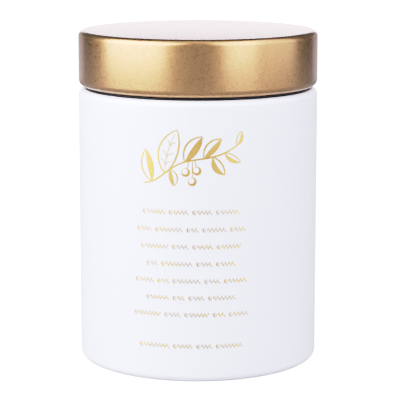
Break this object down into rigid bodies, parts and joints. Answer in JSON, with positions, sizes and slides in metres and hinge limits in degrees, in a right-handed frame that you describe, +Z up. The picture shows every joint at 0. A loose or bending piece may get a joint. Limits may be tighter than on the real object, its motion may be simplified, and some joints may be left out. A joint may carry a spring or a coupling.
{
  "type": "coffee tin",
  "caption": "Round white steel coffee tin with a rolled rim and a lift-off bronze-coated lid whose plug and silicone ring seal the mouth.",
  "frame": {"origin": "centre of the ring that the tin stands on, at the lowest point of the object", "axes": "+Z up, along the tin's axis; -Y towards the front, where the print is; +X to the right seen from the front"},
  "size_m": [0.1, 0.1, 0.1386],
  "materials": {
    "white_coat": "satin white powder coat",
    "bronze_coat": "satin bronze metallic, fine grained",
    "gold_print": "satin gold foil transfer",
    "sealing_compound": "matt grey",
    "foam": "matt pale foam",
    "dark_plastic": "finely textured, near black",
    "black_silicone": "satin black silicone"
  },
  "bodies": {
    "can": {"body_wall": "white_coat", "base_compound": "sealing_compound", "base_end": "white_coat"},
    "seal": {"lid_seal": "black_silicone"},
    "lid": {"lid_cap": "bronze_coat", "lid_pad": "foam", "lid_carrier": "dark_plastic", "lid_plug": "dark_plastic"}
  },
  "joints": [
    {"name": "lid_lift", "type": "slide", "parent": "can", "child": "seal", "axis": [0, 0, 1], "range_m": [0, 0.12]},
    {"name": "lid_turn", "type": "hinge", "parent": "seal", "child": "lid", "pos_m": [0, 0, 0.1145], "axis": [0, 0, 1], "continuous": true}
  ]
}
